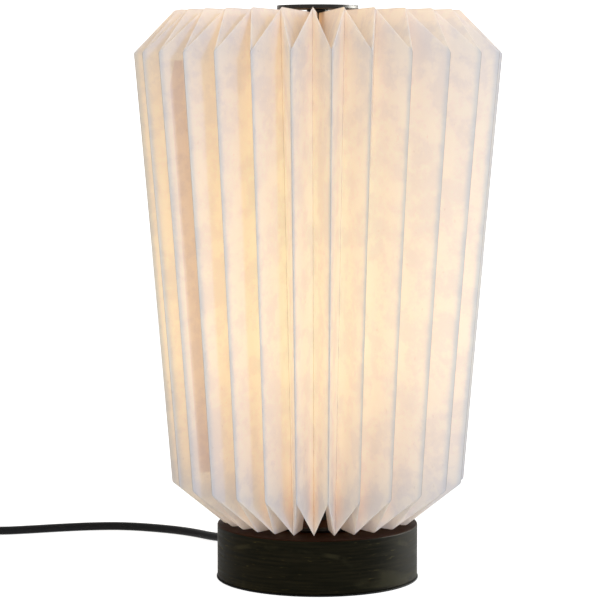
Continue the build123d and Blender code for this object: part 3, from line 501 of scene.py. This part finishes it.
slot_nodes = {
    "stained_wood": ["base_block"],
    "pad": ["base_pad"],
    "black_metal": ["stem_tube", "top_stud", "top_collar", "cap_disc", "bottom_ring"],
    "zinc": [
        "stem_nipple", "stem_washer", "stem_nut", "bulb_screw", "bulb_contact",
        "clamp_washer", "clamp_nut", "clamp_screws", "switch_screws",
    ],
    "holder": ["holder_cap", "holder_shell"],
    "porcelain": ["holder_insulator"],
    "brass": ["holder_sleeve", "holder_contact"],
    "bulb_glass": ["bulb_glass"],
    "black_glass": ["bulb_insulator"],
    "clear_glass": ["bulb_mount"],
    "filament": ["bulb_filament"],
    "paper": ["shade_paper"],
    "paper_seam": ["seam_strip"],
    "cord": ["cord_run", "lead_inside", "cord_link", "cord_coil", "cord_tail"],
    "cord_fittings": [
        "cord_grommet", "clamp_block", "clamp_saddle", "switch_base", "switch_cover",
        "switch_rocker", "switch_reliefs", "cord_tie", "plug_relief", "plug_body",
    ],
    "cores": ["lead_wires"],
    "plated_pins": ["plug_pins"],
}
for slot_name, names in slot_nodes.items():
    for name in names:
        mesh = nodes_of[name].data
        mesh.materials.clear()
        mesh.materials.append(looks[slot_name])

# ---------------------------------------------------------------- cords in place
run = lay_cord("cord_free_run", run_route, looks["cord"])
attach(run, "base")
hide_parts("cord_run")

spare = lay_cord("cord_spare_length", link_route + coil_points() + tail_route, looks["cord"])
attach(spare, "base")
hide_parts("cord_link", "cord_coil", "cord_tail")

# ---------------------------------------------------------------- folded paper shade
# The creases are those of the shade's solid. A corner is a radius and a height.
pleats = 29
folds = 2 * pleats
first_ridge = 4.1  # degrees from the front, towards the right
pleat_angle = 12.0
spread_from = 1  # pleats on the right stand wider from this one on
spread_over = 4
panel_width = 0.0325
ridge_corners = [(0.0432, 0.0731), (0.1027, 0.0692), (0.1280, 0.3688), (0.0049, 0.3629)]
valley_corners = [(0.0432, 0.0409), (0.0686, 0.0409), (0.1006, 0.3974), (0.0049, 0.3954)]
ridge_cut = 0.0022  # how far from a corner its rounding starts
valley_cut = ridge_cut * 1.6
leg_rows = (6, 30, 18)  # floor, wall and roof
corner_rows = 4
across_steps = (0.0, 0.012, 0.03, 0.08, 0.2, 0.4, 0.6, 0.8, 0.92, 0.97, 0.988)
edge_softening = 0.00035
edge_reach = 0.0012
bow_range = (-0.0006, 0.0009)  # of a panel, out of its plane
sways_per_metre = 5 / shade_height
seam_rows = 25
seam_columns = 7
seam_inset = 0.0016


def fold_azimuth(fold):
    """Where a fold stands, in degrees from the front towards the right. Even folds are ridges."""
    pleat = fold / 2
    spread = min(1.0, max(0.0, (pleat - spread_from) / spread_over)) ** 2
    return first_ridge + pleat * pleat_angle + spread * (360 - pleats * pleat_angle)


def crease_line(corners, cut):
    """Points along one crease from the floor's edge to the stud, its corners a little round."""
    points = [Vector(corner) for corner in corners]
    last_leg = len(leg_rows) - 1
    line = []
    for leg, rows in enumerate(leg_rows):
        start, end = points[leg], points[leg + 1]
        along = (end - start).normalized()
        first = start + along * cut if leg else start
        last = end - along * cut if leg < last_leg else end
        line += [first.lerp(last, row / rows) for row in range(rows)]
        if leg == last_leg:
            line.append(last)
            break
        after = end + (points[leg + 2] - end).normalized() * cut
        for part in range(corner_rows):
            share = part / corner_rows
            line.append(last.lerp(end, share).lerp(end.lerp(after, share), share))
    return line


def fold_point(place, turn):
    """The point at a radius and height, turned from the front towards the right."""
    radius, height = place
    return Vector((radius * sin(turn), -radius * cos(turn), height))


def grid_faces(rows, columns, closed):
    """The quads of a grid of points, row after row, whose last column may join the first."""
    faces = []
    for row in range(rows - 1):
        low, high = row * columns, (row + 1) * columns
        for column in range(columns if closed else columns - 1):
            following = (column + 1) % columns
            faces.append((low + column, low + following, high + following, high + column))
    return faces


def mesh_piece(name, vertices, faces, material, smooth=True):
    mesh = bpy.data.meshes.new(name)
    mesh.from_pydata(vertices, [], faces)
    mesh.polygons.foreach_set("use_smooth", [smooth] * len(mesh.polygons))
    mesh.update()
    mesh.materials.append(material)
    piece = bpy.data.objects.new(name, mesh)
    bpy.context.scene.collection.objects.link(piece)
    return piece


def folded_paper():
    """The sheet as one surface: rows from floor to stud, columns round all the pleats."""
    lines = (crease_line(ridge_corners, ridge_cut), crease_line(valley_corners, valley_cut))
    rows = len(lines[0])
    wall_rows = leg_rows[1] + 2 * corner_rows
    turns = [radians(fold_azimuth(fold)) for fold in range(folds)]
    bows = [random.uniform(*bow_range) for _ in range(folds)]
    sways = [random.uniform(0, 2 * pi) for _ in range(folds)]
    vertices = []
    across = []
    fold_of = []
    for row in range(rows):
        on_wall = sin(pi * min(1, max(0, (row - leg_rows[0]) / wall_rows)))
        for fold in range(folds):
            is_ridge = fold % 2 == 0
            start = fold_point(lines[fold % 2][row], turns[fold])
            end = fold_point(lines[(fold + 1) % 2][row], turns[(fold + 1) % folds])
            middle = (start + end) / 2
            outward = Vector((middle.x, middle.y, 0)).normalized()
            for share in across_steps:
                point = start.lerp(end, share)
                bow = bows[fold] * sin(sways[fold] + sways_per_metre * point.z) * 4 * share * (1 - share)
                from_fold = min(share, 1 - share) * panel_width
                softening = max(0.0, 1 - from_fold / edge_reach) ** 2 * edge_softening
                if (share < 0.5) == is_ridge:
                    softening = -softening
                vertices.append(point + outward * ((bow + softening) * on_wall))
                across.append(share if is_ridge else 1 - share)
                fold_of.append(float(fold))
    faces = grid_faces(rows, folds * len(across_steps), closed=True)
    piece = mesh_piece("folded_paper", vertices, faces, looks["paper"])
    for name, values in (("across", across), ("fold", fold_of)):
        piece.data.attributes.new(name, "FLOAT", "POINT").data.foreach_set("value", values)
    return piece


paper = folded_paper()
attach(paper, "shade")
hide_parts("shade_paper")


def seam_layer():
    """The second layer of the seam, a single surface just inside its panel."""
    turns = [radians(fold_azimuth(seam_fold + side)) for side in (0, 1)]
    low, high = seam_heights
    near, far = seam_shares
    vertices = []
    for row in range(seam_rows):
        height = low + (high - low) * row / (seam_rows - 1)
        ends = []
        for corners, turn in zip((ridge_corners, valley_corners), turns):
            foot, rim = corners[1:3]
            radius = foot[0] + (rim[0] - foot[0]) * (height - foot[1]) / (rim[1] - foot[1])
            ends.append(fold_point((radius, height), turn))
        middle = (ends[0] + ends[1]) / 2
        inward = Vector((-middle.x, -middle.y, 0)).normalized() * seam_inset
        for column in range(seam_columns):
            share = near + (far - near) * column / (seam_columns - 1)
            vertices.append(ends[0].lerp(ends[1], share) + inward)
    faces = grid_faces(seam_rows, seam_columns, closed=False)
    return mesh_piece("seam_layer", vertices, faces, looks["paper_seam"])


seam = seam_layer()
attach(seam, "shade")
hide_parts("seam_strip")


# ---------------------------------------------------------------- floor, backdrop and light
def white_for_the_camera(name, bright):
    """A pale surface that shows white, and keeps the shadows that fall on it."""
    look = Look(name)
    seen = look.background_ray()
    tone = look.mix(seen, (0.8, 0.8, 0.8), (0.45, 0.45, 0.45))
    plain = look.node("BsdfDiffuse", {"Color": tone})
    glow = look.node("Emission", {"Color": (1, 1, 1), "Strength": look.math("MULTIPLY", seen, bright)})
    return look.surface(look.add(plain, glow))


for name, corners, bright in (
    ("floor", [(-4, -4, 0), (4, -4, 0), (4, 3, 0), (-4, 3, 0)], 0.82),
    ("backdrop", [(-4, 3, 0), (4, 3, 0), (4, 3, 4), (-4, 3, 4)], 1.0),
):
    material = white_for_the_camera(name, bright)
    piece = mesh_piece(name, corners, [(0, 1, 2, 3)], material, smooth=False)


light_distance = 2.2
light_aim = (0, 0, 0.2)


def area_light(name, azimuth, elevation, size, power, color):
    """A round lamp, its azimuth from the front towards the right."""
    data = bpy.data.lights.new(name, "AREA")
    data.shape = "DISK"
    data.size = size
    data.energy = power
    data.color = color
    light = bpy.data.objects.new(name, data)
    back = Vector((
        sin(radians(azimuth)) * cos(radians(elevation)),
        -cos(radians(azimuth)) * cos(radians(elevation)),
        sin(radians(elevation)),
    ))
    light.location = Vector(light_aim) + back * light_distance
    light.rotation_euler = back.to_track_quat("Z", "Y").to_euler()
    bpy.context.scene.collection.objects.link(light)
    return light


# The window's edges of shadow fall on the left-hand panels. The sheen shows only in what reflects it.
window = area_light("window", 20, 15, 0.22, 10.5, (0.16, 0.45, 1.0))
window.visible_glossy = False
area_light("side", 108, 10, 1.0, 20, (0.55, 0.64, 0.70))
sheen = area_light("sheen", 114, 7, 1.3, 160, (1.0, 0.97, 0.88))
sheen.visible_diffuse = False
sheen.visible_transmission = False

world = bpy.data.worlds.new("world")
sky = Look("world", world)
towards = sky.node("SeparateXYZ", {0: sky.node("TexCoord").outputs["Generated"]})
warm_left, right, above = (0.95, 0.78, 0.56), (0.73, 0.73, 0.72), (0.98, 0.98, 0.94)
room = sky.mix(sky.ramp(towards.outputs["X"], -0.7, 0.7), warm_left, right)
room = sky.mix(sky.ramp(towards.outputs["Z"], 0.1, 0.9), room, above)
shown = sky.mix(sky.background_ray(), room, (1, 1, 1))
sky.surface(sky.node("Background", {"Color": shown, "Strength": 1.0}))
bpy.context.scene.world = world
bpy.context.scene.view_settings.view_transform = "Standard"
